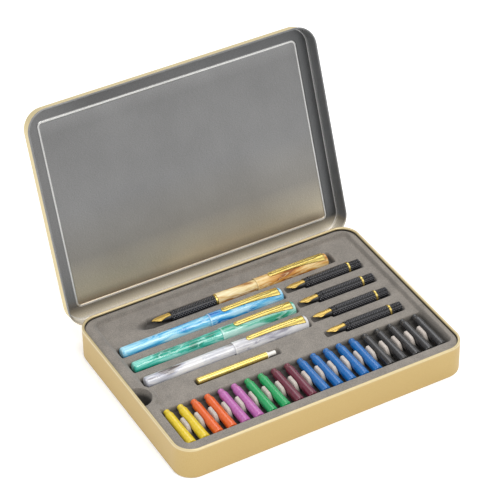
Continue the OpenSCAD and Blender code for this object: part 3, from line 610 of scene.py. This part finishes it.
def gold_finish(name, dark, light, dull):
    """Gold plating with faint rub marks along the piece."""
    made, tree, shader, mm = finish_named(name)
    rubbed = add(tree, "Mapping", {"Vector": mm, "Scale": RUBS})
    mark = add(tree, "TexNoise", {"Vector": rubbed, "Scale": 1.0, "Detail": 3.0})
    tone = stops(add(tree, "ValToRGB", {"Fac": mark}), (0.3, dark), (0.7, light))
    rough = add(tree, "MapRange", {0: mark, 3: dull, 4: dull + 0.08})
    fill(shader, {"Base Color": tone, "Roughness": rough, "Metallic": 1.0})
    print("made", name)
    return made


gold_plate = gold_finish("gold_plated_brass", "d6ba5e", "e6d286", 0.24)
nib_gold = gold_finish("gold_plated_steel_nib", "bd9c4e", "d6ba70", 0.3)

# %% [markdown]
# ## The grips
#
# A nib section is moulded in black ABS. Three smooth lines run along it, and the rest has a fine
# diamond texture that helps the fingers, with painted highlights on its tips. The real diamonds are
# about 0.8 mm wide, which is too fine for the picture, so they are drawn 2.2 mm wide.
#
# The angle round the grip comes from the coordinates that fill each grip's own box, so all five
# share one material. Angle times radius is the way round in mm; adding it to the way along gives
# one set of slanting lines and taking it away gives the other, and diamonds are where both rise.

# %% Grip finish
GRIP_R, DIAMOND, SMOOTH_LINES = 4.2, 2.2, 3.0  # mm, mm, number
made, tree, shader, mm = finish_named("black_abs_textured_grip")
own = add(tree, "TexCoord").node.outputs["Generated"]
_, y, z = add(tree, "SeparateXYZ", {0: own}).node.outputs
y = add(tree, "Math", {0: y, 1: 0.5}, operation="SUBTRACT")
z = add(tree, "Math", {0: z, 1: 0.5}, operation="SUBTRACT")
turn = add(tree, "Math", {0: z, 1: y}, operation="ARCTAN2")
along = add(tree, "SeparateXYZ", {0: mm})
around = add(tree, "Math", {0: turn, 1: GRIP_R}, operation="MULTIPLY")
one = add(tree, "Math", {0: along, 1: around}, operation="ADD")
two = add(tree, "Math", {0: along, 1: around}, operation="SUBTRACT")
one = add(tree, "Math", {0: one, 1: DIAMOND / 2}, operation="PINGPONG")
two = add(tree, "Math", {0: two, 1: DIAMOND / 2}, operation="PINGPONG")
diamond = add(tree, "Math", {0: one, 1: two}, operation="MULTIPLY")
line = add(tree, "Math", {0: turn, 1: SMOOTH_LINES}, operation="MULTIPLY")
line = add(tree, "Math", {0: line}, operation="COSINE")
line = add(tree, "MapRange", {0: line, 1: 0.82, 2: 0.9})
rest = add(tree, "Math", {0: 1.0, 1: line}, operation="SUBTRACT")
diamond = add(tree, "Math", {0: diamond, 1: rest}, operation="MULTIPLY")
bump = add(tree, "Bump", {"Height": diamond, "Strength": 0.9, "Distance": 0.4 * MM})
rough = add(tree, "MapRange", {0: line, 3: 0.3, 4: 0.16})
# The pale tips of the diamonds are painted highlights: small glints drawn into the colour.
tone = stops(
    add(tree, "ValToRGB", {"Fac": diamond}), (0.0, "0f0f13"), (0.6, "18181d"), (1.0, "8e8e98")
)
fill(shader, {"Base Color": tone, "Roughness": rough, "Normal": bump, "IOR": 1.54})
black_grip = made
print("made", made.name)

# %% [markdown]
# ## Plain mouldings and wire
#
# The feed under each nib and the converter's white reservoir are plain injection mouldings. Even
# a plain moulding has a faint unevenness from the mould's spark eroded surface, so each gets a
# small noise in its roughness and bump, drawn at 0.17 mm, over shades that vary in 1.7 mm. The
# hinge wire is bright drawn steel. The straps are cut from the same sheet as the tin, so they
# take its finish, with paint everywhere.

# %% Moulding and wire finishes
SHADES, SPARKS = 0.6, 6.0  # per mm


def moulding(name, dark, light, rough, ior):
    """An injection moulding: two close shades, and a fine even surface."""
    made, tree, shader, mm = finish_named(name)
    grain = add(tree, "TexNoise", {"Vector": mm, "Scale": SHADES, "Detail": 3.0})
    tone = stops(add(tree, "ValToRGB", {"Fac": grain}), (0.3, dark), (0.7, light))
    fine = add(tree, "TexNoise", {"Vector": mm, "Scale": SPARKS, "Detail": 2.0})
    gloss = add(tree, "MapRange", {0: fine, 3: rough - 0.04, 4: rough + 0.05})
    bump = add(tree, "Bump", {"Height": fine, "Strength": 0.06, "Distance": 0.05 * MM})
    fill(shader, {"Base Color": tone, "Roughness": gloss, "Normal": bump, "IOR": ior})
    print("made", name)
    return made


black_feed = moulding("black_abs_feed", "141416", "1f1f22", 0.4, 1.54)
white_reservoir = moulding("white_polypropylene", "e2dfd8", "f0eee8", 0.35, 1.49)
steel_wire = moulding("bright_drawn_steel_wire", "a8a6a2", "bdbbb6", 0.3, 1.5)
fill(steel_wire.node_tree.nodes["Principled BSDF"], {"Metallic": 1.0})

made, tree, shader, mm = finish_named("tinplate_strap_gold_painted")
gold_strap = tin_finish(made, mm, 1.0, GOLD, paint("8a8986"), 0.96)

# %% [markdown]
# ## Ink cartridges
#
# A cartridge is blow moulded in polyethylene and filled with ink, and the plastic is dyed to match
# it. Polyethylene is waxy: light goes a little way in, which lifts the edges. A little subsurface
# scattering gives that, and costs less than true transparency, which the thin wall would hardly
# show anyway. A new cartridge is also glossy, so a thin clear coat lets the lamps draw a streak
# along it.

# %% Cartridge finish
def cartridge_plastic(ink, dark, light):
    """Waxy dyed polyethylene with a clear gloss."""
    made = moulding("polyethylene_" + ink, dark, light, 0.24, 1.51)
    shader = made.node_tree.nodes["Principled BSDF"]
    fill(shader, {"Subsurface Weight": 0.12, "Subsurface Radius": (1.0, 0.6, 0.4)})
    fill(shader, {"Subsurface Scale": 1.5 * MM, "Coat Weight": 0.35, "Coat Roughness": 0.12})
    return made


inks = {
    "yellow": cartridge_plastic("yellow", "cfb41c", "dec52e"),
    "orange": cartridge_plastic("orange", "cf5414", "da6420"),
    "violet": cartridge_plastic("violet", "a8569a", "b669aa"),
    "green": cartridge_plastic("green", "0c8e4e", "1a9c5a"),
    "burgundy": cartridge_plastic("burgundy", "5c162c", "6a2238"),
    "blue": cartridge_plastic("blue", "005a9e", "0666ac"),
    "black": cartridge_plastic("black", "222122", "302f30"),
}

# %% [markdown]
# ## The tray as a formed sheet
#
# Vacuum forming pulls a hot sheet over a mould, so the tray is really one height for each place:
# nothing overhangs. That makes it easy to build as a height map. The height starts at the rim,
# the sunken field is cut into it, then the trough and the round-floored pockets. A short blur
# does what the thickness of the sheet and the flock do to the real one: it rounds every edge by
# about half a millimetre. The humps between the cartridges are put back last, with less blur,
# because in the photograph their edges are the crispest of all.
#
# The other way would be to bevel the solid's edges one by one, which is fragile where many curved
# cuts meet. In the height map every number is a size of the tray: half widths and half depths are
# given from its middle, and heights from the table.

# %% Sizes of the tray, in mm
TRAY_HALF_W, TRAY_HALF_D, TRAY_CORNER = 112.6, 78.6, 12.1
TRAY_TOP, TRAY_FOOT, FIELD = 24.3, 0.7, 20.4
FIELD_X0, FIELD_X1, FIELD_BACK, SLOPE = -101.4, 108.4, 75.0, 3.8
FIELD_TURN_LEFT, FIELD_TURN_RIGHT, TROUGH_TURN = 8.0, 2.4, 2.4
TROUGH_X, TROUGH_HALF, TROUGH_Y0, TROUGH_Y1, TROUGH_Z = 1.75, 106.675, -69.2, -28.8, 16.25
FIELD_FRONT = TROUGH_Y1 - 3  # a little over the trough's edge, so that no wall is left between
ROW_X, PITCH, HUMP_HALF, HUMP_TOP, LAST_HUMP = 0.6, 10.65, 1.593, 23.2, 9.4
HUMP_SIDE = ((-57.4, TROUGH_Z), (-53.6, 22.4), (-52.4, HUMP_TOP), (-43.8, HUMP_TOP))
NOTCH_X, NOTCH_Y, NOTCH_R, NOTCH_RIM, COLLAR_RUN, SKIN = -112.6, -12.3, 10.0, 2.9, 2.4, 0.8
print("field", round(TRAY_TOP - FIELD, 2), "mm down, trough", round(TRAY_TOP - TROUGH_Z, 2))

# %% [markdown]
# Every loose piece has its own round-floored pocket, and each is one line of numbers: where it
# starts and ends along X, where its middle line lies along Y and Z, and its radius. The section
# of the open pen lies over a ramp as well, a groove that slopes from the field into the pocket.

# %% Pockets of the tray
PEN_Z, BARREL_SPACE, CAP_SPACE = 19.75, 5.35, 5.9
PEN_Y = [58.0, 39.8, 21.6, 3.4]
UNIT_Y = [41.0, 22.0, 3.0, -16.0]
RAMP_X, RAMP_END, RAMP_RUN, RAMP_TIGHT = -67.0, -85, 12, 0.4

pockets = [
    (RAMP_X, 20.5, PEN_Y[0], PEN_Z, BARREL_SPACE),  # barrel of the open pen
    (19.2, 86.0, PEN_Y[0], PEN_Z, CAP_SPACE),  # its cap, pushed on the back
    (-68.7, -0.4, -14.3, 20.2, 3.1),  # converter
]
for y_mid in PEN_Y[1:]:
    pockets.append((-100.5, -28.7, y_mid, PEN_Z, BARREL_SPACE))
    pockets.append((-30.0, 33.1, y_mid, PEN_Z, CAP_SPACE))
for y_mid in UNIT_Y:
    pockets.append((51.6, 100.5, y_mid, FIELD, 4.8))  # grip and stub of a loose section
    pockets.append((36.7, 51.7, y_mid, FIELD, 3.2))  # its nib
print("pockets", len(pockets))

# %% [markdown]
# Now the height at each place can be worked out for the whole grid at once: `dig` cuts a pocket,
# `humps` gives the humps on a floor as high as the trough's, and `blur` softens either of them.

# %% Height of the tray at each place
def box_distance(x, y, half_w, half_d, corner):
    """Distance outside a rounded rectangle, for arrays; it is negative inside."""
    qx, qy = np.abs(x) - (half_w - corner), np.abs(y) - (half_d - corner)
    out = np.hypot(np.maximum(qx, 0), np.maximum(qy, 0))
    return out + np.minimum(np.maximum(qx, qy), 0) - corner


def outside(x, y):
    """Distance outside the tray's outline, with its finger notch cut away."""
    body = box_distance(x, y, TRAY_HALF_W, TRAY_HALF_D, TRAY_CORNER)
    return np.maximum(body, NOTCH_R - np.hypot(x - NOTCH_X, y - NOTCH_Y))


def dig(z, x, y, x0, x1, y_mid, z_mid, radius):
    """Cuts a round-floored pocket along X into the heights z."""
    side = np.abs(y - y_mid)
    floor_z = z_mid - np.sqrt(np.maximum(radius**2 - side**2, 0))
    here = (side < radius) & (x > x0) & (x < x1)
    return np.where(here, np.minimum(z, floor_z), z)


def humps(x, y):
    """Heights of the humps: flat on top, sloping down at the front, a wall on each side."""
    step = (x - ROW_X) / PITCH
    near = np.abs(step - np.round(step)) * PITCH
    here = (near < HUMP_HALF) & (np.abs(step) < LAST_HUMP) & (y < HUMP_SIDE[-1][0])
    top = np.interp(y, [p[0] for p in HUMP_SIDE], [p[1] for p in HUMP_SIDE])
    return np.where(here, top, TROUGH_Z)


def tray_height(x, y):
    """Height of the formed sheet in mm: rim, field with its corners, trough, pockets, ramp."""
    z = np.full(x.shape, TRAY_TOP)
    slope = FIELD + (FIELD_X0 - x) * (TRAY_TOP - FIELD) / SLOPE
    field = np.maximum(FIELD, slope)
    inside = (x > FIELD_X0 - SLOPE) & (x < FIELD_X1) & (y < FIELD_BACK) & (y > FIELD_FRONT)
    cut = False
    for corner_x, turn, way in (
        (FIELD_X0 - SLOPE, FIELD_TURN_LEFT, -1),
        (FIELD_X1, FIELD_TURN_RIGHT, 1),
    ):
        past_x = (x - corner_x) * way + turn
        past_y = y - FIELD_BACK + turn
        cut |= (past_x > 0) & (past_y > 0) & (np.hypot(past_x, past_y) > turn)
    inside &= ~cut
    rise = (TRAY_TOP - FIELD + SKIN) / COLLAR_RUN
    ring = np.hypot(x - NOTCH_X, y - NOTCH_Y) - NOTCH_R - NOTCH_RIM
    field = np.maximum(field, TRAY_TOP - np.maximum(ring, 0) * rise)
    z = np.where(inside, np.minimum(z, field), z)
    mid, deep = (TROUGH_Y0 + TROUGH_Y1) / 2, (TROUGH_Y1 - TROUGH_Y0) / 2
    trough = box_distance(x - TROUGH_X, y - mid, TROUGH_HALF, deep, TROUGH_TURN)
    z = np.where(trough < 0, TROUGH_Z, z)
    for pocket in pockets:
        z = dig(z, x, y, *pocket)
    side = np.abs(y - PEN_Y[0])
    tilt = math.atan((FIELD - PEN_Z + BARREL_SPACE) / RAMP_RUN)
    radius = BARREL_SPACE - RAMP_TIGHT
    middle = PEN_Z + (RAMP_X - x) * math.tan(tilt) + radius * (1 / math.cos(tilt) - 1)
    ramp = middle - np.sqrt(np.maximum(radius**2 - side**2, 0)) / math.cos(tilt)
    return np.where((side < radius) & (x <= RAMP_X) & (x > RAMP_END), np.minimum(z, ramp), z)


def blur(z, reach):
    """Softens the heights with a bell curve whose spread is reach cells."""
    steps = np.arange(-4, 5)
    bell = np.exp(-(steps**2) / (2 * reach**2))
    bell /= bell.sum()
    for axis in (0, 1):
        total = np.zeros_like(z)
        for step, share in zip(steps, bell):
            total += share * np.roll(z, step, axis)
        z = total
    return z


print("highest hump", HUMP_TOP, "mm above the table")

# %% [markdown]
# A grid of 0.4 mm is fine enough for edges rounded by half a millimetre, and a finer one would
# only make the mesh heavier. The outer edge of the rim is too close to the cut for the blur, so it
# is rounded by half a millimetre on its own.
#
# The higher of the two maps counts at each place. One fault comes with that: no place ends lower
# than the trough's floor, so the pockets of the pens and sections get a flat floor there, up to
# 2.4 mm above the round one of the solid, and the pens sink into it out of sight. Letting `humps`
# count only inside the trough would mend it.

# %% Grid of heights
CELL, MARGIN, EDGE_R = 0.4, 1.0, 0.5  # mm
TRAY_BLUR, HUMP_BLUR = 1.15, 0.6  # cells
xs = np.arange(-TRAY_HALF_W - MARGIN, TRAY_HALF_W + MARGIN + 0.01, CELL)
ys = np.arange(-TRAY_HALF_D - MARGIN, TRAY_HALF_D + MARGIN + 0.01, CELL)
gx, gy = np.meshgrid(xs, ys, indexing="ij")
gz = np.maximum(blur(tray_height(gx, gy), TRAY_BLUR), blur(humps(gx, gy), HUMP_BLUR))
into_edge = np.clip(EDGE_R + outside(gx, gy), 0, EDGE_R)
drop = EDGE_R - np.sqrt(np.maximum(EDGE_R**2 - into_edge**2, 0))
gz = gz - np.where(gz > FIELD + 2, drop, 0)  # only at the height of the rim
print("grid", gx.shape, "heights from", round(gz.min(), 2), "to", round(gz.max(), 2), "mm")

# %% [markdown]
# The grid is cut along the tray's outline: quads whose middle is outside are left out, and the
# points along the cut are moved onto the true outline, so that corners and notch stay round. Each
# move follows the slope of the distance, and three moves are enough to arrive.

# %% Cut along the outline
FEEL = 0.05  # mm, the step that measures the slope of the distance
count = gx.size
index = np.arange(count).reshape(gx.shape)
keep = outside((gx[:-1, :-1] + gx[1:, 1:]) / 2, (gy[:-1, :-1] + gy[1:, 1:]) / 2) < 0
corners = (index[:-1, :-1], index[1:, :-1], index[1:, 1:], index[:-1, 1:])
quads = np.stack([corner[keep] for corner in corners], 1)
used = np.bincount(quads.ravel(), minlength=count).reshape(gx.shape)
edge = (used > 0) & (used < 4)
for _ in range(3):
    d = outside(gx, gy)
    dx = (outside(gx + FEEL, gy) - outside(gx - FEEL, gy)) / (2 * FEEL)
    dy = (outside(gx, gy + FEEL) - outside(gx, gy - FEEL)) / (2 * FEEL)
    gx = np.where(edge, gx - d * dx, gx)
    gy = np.where(edge, gy - d * dy, gy)

renumber = np.full(count, -1)
renumber[np.unique(quads)] = np.arange(len(np.unique(quads)))
points = np.stack((gx.ravel(), gy.ravel(), gz.ravel()), 1)[renumber >= 0] * MM
faces = renumber[quads]
print("sheet", len(points), "points,", len(faces), "quads")

# %% [markdown]
# The cut edge is then pulled down to make the skirt that the tray stands on. A side of a quad that
# no other quad shares lies on the edge, so those sides are found by counting, and each one gets a
# tall quad below it.

# %% Mesh of the tray
sides = np.concatenate((faces[:, [0, 1]], faces[:, [1, 2]], faces[:, [2, 3]], faces[:, [3, 0]]))
key = np.sort(sides, 1)
_, first, times = np.unique(key, axis=0, return_index=True, return_counts=True)
rim = sides[first[times == 1]]
ring = np.unique(rim)
below = np.full(len(points), -1)
below[ring] = len(points) + np.arange(len(ring))
feet = points[ring].copy()
feet[:, 2] = TRAY_FOOT * MM
skirt = np.stack((rim[:, 1], rim[:, 0], below[rim[:, 0]], below[rim[:, 1]]), 1)

tray_mesh = bpy.data.meshes.new("tray_flocked_form")
tray_mesh.from_pydata(
    np.vstack((points, feet)).tolist(), [], np.vstack((faces, skirt)).tolist()
)
tray_mesh.polygons.foreach_set("use_smooth", [True] * len(tray_mesh.polygons))
tray_mesh.update()
tray = bpy.data.objects.new("tray_flocked_form", tray_mesh)
bpy.context.scene.collection.objects.link(tray)
tray.data.materials.append(grey_flock)
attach(tray, "tray")
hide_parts("flocked_tray")
print("tray with", len(skirt), "quads of skirt")

# %% [markdown]
# ## Clips and nibs as bent sheet
#
# A clip and a nib are both blanked from flat metal and then bent over a round former, so one
# function makes both. It takes the blank's half width and the height of its crown at places along
# the piece, and lets the sheet fall away to each side as a circle does. The clip has a shallow
# groove pressed along it, which stiffens it and splits its highlight in two. The nib has a slit,
# drawn as a groove here, because a real one is thinner than a hair. A groove is given by its
# depth, its half width, and where it starts and ends along the piece.
#
# The solids already have these pieces with the right lengths, but their blanks are simpler. The
# photograph shows a broader clip and a nib shaped like a spade, so the finer ones take their place.

# %% Bent sheet
def bent_sheet(name, places, half_widths, crowns, bend, thick, groove, rows=73, cols=25):
    """A closed sheet along X; its underside is thick below the top, and mm give every size."""
    deep, reach, start, end = groove
    x = np.linspace(places[0], places[-1], rows)[:, None]
    wide = np.interp(x, places, half_widths)
    y = wide * np.sin(np.linspace(-1, 1, cols) * math.pi / 2)[None, :]
    top = np.interp(x, places, crowns) - bend + np.sqrt(bend**2 - y**2)
    dent = deep * np.exp(-((y / reach) ** 2)) * (x > start) * (x < end)
    x = np.broadcast_to(x, y.shape)
    upper = np.stack((x, y, top - dent), 2).reshape(-1, 3)
    lower = np.stack((x, y, top - thick), 2).reshape(-1, 3)
    grid = np.arange(rows * cols).reshape(rows, cols)
    a, b, c, d = grid[:-1, :-1], grid[1:, :-1], grid[1:, 1:], grid[:-1, 1:]
    over = np.stack((a, b, c, d), 2).reshape(-1, 4)
    under = over[:, ::-1] + rows * cols
    loop = np.concatenate((grid[:-1, 0], grid[-1, :-1], grid[:0:-1, -1], grid[0, :0:-1]))
    ahead = np.roll(loop, -1)
    wall = np.stack((ahead, loop, loop + rows * cols, ahead + rows * cols), 1)
    mesh = bpy.data.meshes.new(name)
    mesh.from_pydata(
        (np.vstack((upper, lower)) * MM).tolist(), [], np.vstack((over, under, wall)).tolist()
    )
    smooth = [True] * (2 * len(over)) + [False] * len(wall)
    mesh.polygons.foreach_set("use_smooth", smooth)
    mesh.update()
    return mesh


def put_in_place(name, mesh, x, y, z, body, node, finish):
    """Hangs a finer piece on its body, in place of the node of the same name."""
    piece = bpy.data.objects.new(name, mesh)
    piece.location = (x * MM, y * MM, z * MM)
    bpy.context.scene.collection.objects.link(piece)
    if not mesh.materials:
        mesh.materials.append(finish)
    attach(piece, body)
    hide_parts(node)


# %% [markdown]
# Each finer piece is put at the place of the solid that it stands for, read from its mesh, so it
# would follow if the solid moved.
#
# A clip is cut as a long tongue: 8.6 mm wide where it is held at the cap's closed end, half of
# that near its free end, and rounded there. It arches a little over the cap.

# %% Clips
CLIP_LEN, CLIP_T, CLIP_RISE, CLIP_GAP, CAP_R = 47.0, 0.5, 0.55, 0.02, 5.45  # mm
CLIP_GROOVE = (0.24, 0.7, 2.5, 41.0)
clip_x = np.array([0, 0.15, 0.5, 1.0, 1.6, 2.1, 6, 14, 22, 30, 37, 42, 45, CLIP_LEN])
clip_wide = np.array(
    [0.15, 0.78, 1.35, 1.78, 2.03, 2.1, 2.12, 2.22, 2.45, 2.9, 3.45, 3.9, 4.15, 4.28]
)
arch = 1 - (2 * clip_x / CLIP_LEN - 1) ** 2
clip_top = CAP_R + CLIP_GAP + CLIP_T + (CLIP_RISE - CLIP_GAP) * arch
clip_bend = CAP_R + CLIP_GAP + CLIP_T
clip_mesh = bent_sheet(
    "pen_clip_pressed", clip_x, clip_wide, clip_top, clip_bend, CLIP_T, CLIP_GROOVE
)
for number in range(1, 5):
    low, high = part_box(f"pen_{number}_clip")
    x, y = low[0] / MM, (low[1] + high[1]) / 2 / MM
    body, node = f"pen_{number}", f"pen_{number}_clip"
    put_in_place(f"{node}_pressed", clip_mesh, x, y, PEN_Z, body, node, gold_plate)
print("clips", len(clip_mesh.vertices), "points each")

# %% [markdown]
# A nib is shaped like a spade: a blunt point, shoulders 5.3 mm wide, and a waist that goes into
# the section. It is curved tightly across, and its tip dips towards the paper.

# %% Nibs
NIB_T, NIB_HALF, NIB_BEND, NIB_CROWN, NIB_TIP = 0.35, 2.65, 4.6, 3.3, 2.4  # mm
NIB_SLIT = (0.12, 0.2, 0.5, 8.0)
nib_x = np.array([0, 0.3, 1, 2.5, 4.2, 5.4, 6.3, 7.2, 8.4, 10, 12, 14, 16, 20])
nib_wide = NIB_HALF * np.array(
    [0.1, 0.2, 0.3, 0.55, 0.84, 0.97, 1.0, 0.97, 0.86, 0.72, 0.65, 0.64, 0.64, 0.64]
)
nib_top = np.interp(nib_x, [0, 15, 20], [NIB_TIP, NIB_CROWN, NIB_CROWN])
nib_mesh = bent_sheet("nib_spade", nib_x, nib_wide, nib_top, NIB_BEND, NIB_T, NIB_SLIT)
for name in ["pen_1"] + [f"section_{number}" for number in range(1, 5)]:
    low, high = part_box(f"{name}_nib")
    x, y, z = low[0] / MM, (low[1] + high[1]) / 2 / MM, high[2] / MM - NIB_CROWN
    put_in_place(f"{name}_nib_spade", nib_mesh, x, y, z, name, f"{name}_nib", nib_gold)
print("nibs", len(nib_mesh.vertices), "points each")

# %% [markdown]
# ## Dressing the nodes
#
# Last, each solid gets its finish. The names say what each one is, so a short rule is enough: the
# material goes into the slots that the solid already has. The inks are in order from the left.

# %% Give each node its material
ink_order = (
    ["yellow"] * 2 + ["orange"] * 2 + ["violet"] * 2 + ["green"] * 2 + ["burgundy"] * 2
    + ["blue"] * 5 + ["black"] * 5
)


def finish_of(name):
    """The finish of a node, from its name."""
    if name.startswith("cartridge_"):
        return inks[ink_order[int(name[-2:]) - 1]]
    if name.endswith("_nib"):
        return nib_gold
    if name.endswith(("_clip", "_ring", "_sleeve")):
        return gold_plate
    if name.endswith("_grip"):
        return black_grip
    if name.endswith("_feed"):
        return black_feed
    if name.endswith("_barrel"):
        return barrel_resins[int(name[4])]
    if name.endswith("_cap"):
        return cap_resins[int(name[4])]
    return {
        "base_tin": base_tin,
        "lid_tin": lid_tin,
        "hinge_straps": gold_strap,
        "hinge_wire": steel_wire,
        "flocked_tray": grey_flock,
        "converter_reservoir": white_reservoir,
    }[name]


for name, node in nodes.items():
    for slot in node.material_slots:
        slot.material = finish_of(name)
print("dressed", len(nodes), "nodes")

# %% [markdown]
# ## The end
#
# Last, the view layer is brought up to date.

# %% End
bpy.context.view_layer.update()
